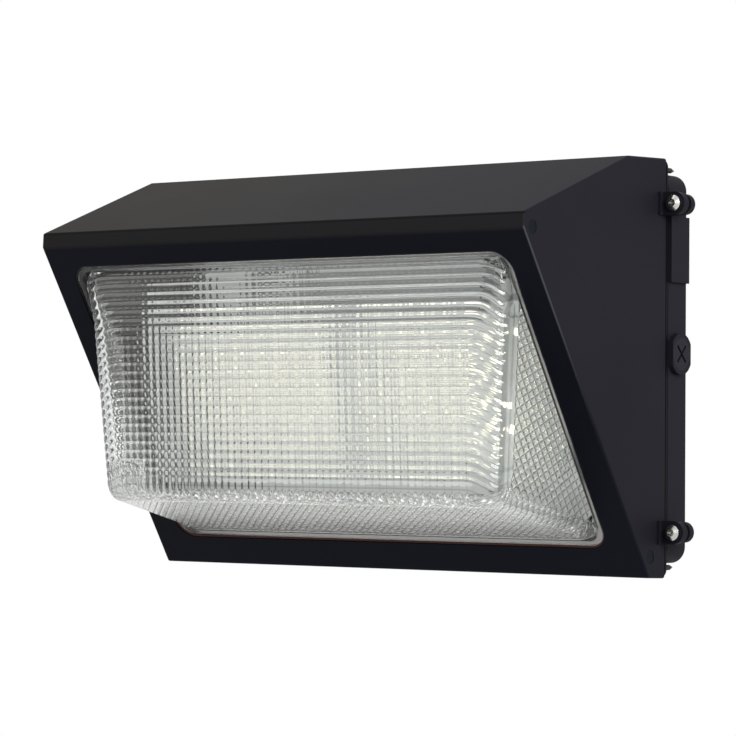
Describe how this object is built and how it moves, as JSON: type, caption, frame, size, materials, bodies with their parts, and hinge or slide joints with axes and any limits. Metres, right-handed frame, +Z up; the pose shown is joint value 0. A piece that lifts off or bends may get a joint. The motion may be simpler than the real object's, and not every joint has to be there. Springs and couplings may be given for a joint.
{
  "type": "wall pack light",
  "caption": "Outdoor wall pack light: wedge-shaped die-cast housing with a ribbed glass lens, hinged on a shallow wall box.",
  "frame": {"origin": "centre of the four wall bolt holes, on the wall box's back face", "axes": "+X to the viewer's right when facing the light, +Y into the wall, +Z up"},
  "size_m": [0.3895, 0.1717, 0.246],
  "materials": {
    "painted_casting": "fine dark bronze powder coat",
    "painted_sheet": "dark powder coat",
    "painted_plug": "dark powder coat",
    "plug_plastic": "matt",
    "lens_glass": "pressed, ribbed",
    "silicone_red": "matt silicone",
    "black_rubber": "matt",
    "zinc_steel": "zinc plated",
    "black_screw": "black oxide",
    "stainless": "stainless steel",
    "bare_aluminium": "mill finish",
    "board_white": "white solder mask",
    "chip_phosphor": "yellow phosphor under clear silicone",
    "thermal_pad": "soft grey",
    "white_sheet": "gloss white reflector paint",
    "driver_case": "grey enamel",
    "surge_case": "moulded",
    "lead_insulation": "wire insulation",
    "connector_plastic": "moulded",
    "ground_green": "green coated screw"
  },
  "bodies": {
    "wall_box": {"rear_housing": "painted_casting", "housing_gasket": "black_rubber", "conduit_plug_right": "painted_plug", "conduit_plug_left": "painted_plug", "conduit_plug_top": "painted_plug", "hinge_pin_upper": "stainless", "hinge_pin_lower": "stainless", "ground_screw": "ground_green"},
    "door": {"front_housing": "painted_casting", "accessory_plugs": "plug_plastic", "glass_refractor": "lens_glass", "lens_gasket": "silicone_red", "lens_clips": "zinc_steel", "lens_clip_screws": "zinc_steel", "gear_tray": "painted_sheet", "tray_gasket": "black_rubber", "tray_screws": "black_screw", "bracket_screws": "zinc_steel", "driver_screws": "zinc_steel", "surge_screws": "zinc_steel", "led_bracket": "bare_aluminium", "led_board_right": "board_white", "led_board_left": "board_white", "led_chips_right": "chip_phosphor", "led_chips_left": "chip_phosphor", "thermal_pads": "thermal_pad", "led_board_screws": "stainless", "reflector_pan": "white_sheet", "led_driver": "driver_case", "surge_protector": "surge_case", "led_leads": "lead_insulation", "supply_leads": "lead_insulation", "supply_disconnect": "connector_plastic", "tray_grommet": "black_rubber"},
    "upper_screw": {"door_screw_upper": "stainless"},
    "lower_screw": {"door_screw_lower": "stainless"}
  },
  "joints": [
    {"name": "door_hinge", "type": "hinge", "parent": "wall_box", "child": "door", "pos_m": [-0.1885, -0.024, 0], "axis": [0, 0, -1], "range_deg": [0, 95]},
    {"name": "upper_screw_slide", "type": "slide", "parent": "door", "child": "upper_screw", "axis": [0, -1, 0], "range_m": [0, 0.006]},
    {"name": "lower_screw_slide", "type": "slide", "parent": "door", "child": "lower_screw", "axis": [0, -1, 0], "range_m": [0, 0.006]}
  ]
}
